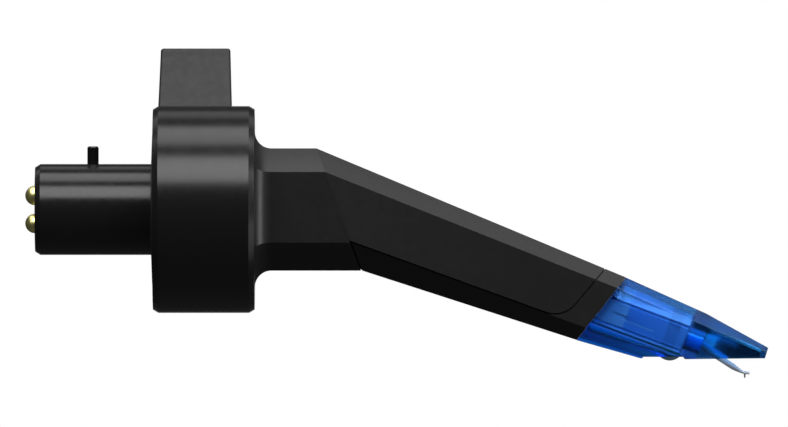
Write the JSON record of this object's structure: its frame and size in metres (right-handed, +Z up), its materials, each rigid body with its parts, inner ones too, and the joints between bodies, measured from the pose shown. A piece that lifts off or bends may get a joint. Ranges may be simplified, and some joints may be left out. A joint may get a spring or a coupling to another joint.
{
  "type": "turntable stylus cartridge",
  "caption": "Integrated turntable pickup: bayonet plug, round collar with finger lift, cranked black arm and a translucent blue pull-off stylus.",
  "frame": {"origin": "centre of the collar's rear face, on the plug's axis", "axes": "+X forward from the plug to the stylus, +Z up away from the record, finger lift on the +Y side"},
  "size_m": [0.0653, 0.0234, 0.0291],
  "materials": {
    "housing_black": "satin black moulded plastic",
    "lift_black": "satin black moulded plastic",
    "plug_black": "smooth black",
    "pin_black": "blackened steel",
    "gasket_rubber": "black rubber",
    "insulator": "black moulded plastic",
    "contact_gold": "gold plated",
    "former_grey": "light grey moulded plastic",
    "screen_steel": "drawn nickel alloy",
    "pole_steel": "punched nickel alloy",
    "coil_copper": "enamelled copper winding",
    "lead_red": "red insulation",
    "lead_green": "green insulation",
    "lead_white": "white insulation",
    "lead_blue": "blue insulation",
    "clear_blue": "translucent blue moulded plastic",
    "stud_steel": "dull steel",
    "sleeve_metal": "drawn tube",
    "wire_steel": "drawn wire",
    "damper_rubber": "soft black rubber",
    "magnet_metal": "sintered magnet",
    "cantilever_alloy": "drawn and crimped tube",
    "diamond": "ground and polished"
  },
  "bodies": {
    "headshell": {"bayonet_pin": "pin_black", "coil_1": "coil_copper", "coil_2": "coil_copper", "coil_3": "coil_copper", "coil_4": "coil_copper", "connector_tube": "plug_black", "contact_insert": "insulator", "contact_pin_1": "contact_gold", "contact_pin_2": "contact_gold", "contact_pin_3": "contact_gold", "contact_pin_4": "contact_gold", "finger_lift": "lift_black", "gasket": "gasket_rubber", "generator_body": "former_grey", "lead_wire_1": "lead_red", "lead_wire_2": "lead_green", "lead_wire_3": "lead_white", "lead_wire_4": "lead_blue", "lower_cover": "housing_black", "pole_1": "pole_steel", "pole_2": "pole_steel", "pole_3": "pole_steel", "pole_4": "pole_steel", "shield_can": "screen_steel", "terminal_1": "contact_gold", "terminal_2": "contact_gold", "terminal_3": "contact_gold", "terminal_4": "contact_gold", "upper_housing": "housing_black"},
    "stylus_unit": {"stylus_holder": "clear_blue", "suspension_sleeve": "sleeve_metal", "tie_wire": "wire_steel", "locating_stud": "stud_steel"},
    "damper_ring": {"damper": "damper_rubber"},
    "needle": {"magnet": "magnet_metal", "cantilever": "cantilever_alloy", "stylus_tip": "diamond"}
  },
  "joints": [
    {"name": "stylus_pull", "type": "slide", "parent": "headshell", "child": "stylus_unit", "axis": [0.9373, 0, -0.3486], "range_m": [0, 0.009]},
    {"name": "needle_sway", "type": "hinge", "parent": "stylus_unit", "child": "damper_ring", "pos_m": [0.04758, 0, -0.01175], "axis": [0.3486, 0, 0.9373], "range_deg": [-4, 4], "stiffness_Nm_per_rad": 0.002},
    {"name": "needle_lift", "type": "hinge", "parent": "damper_ring", "child": "needle", "pos_m": [0.04758, 0, -0.01175], "axis": [0, -1, 0], "range_deg": [-2, 6], "stiffness_Nm_per_rad": 0.002}
  ]
}
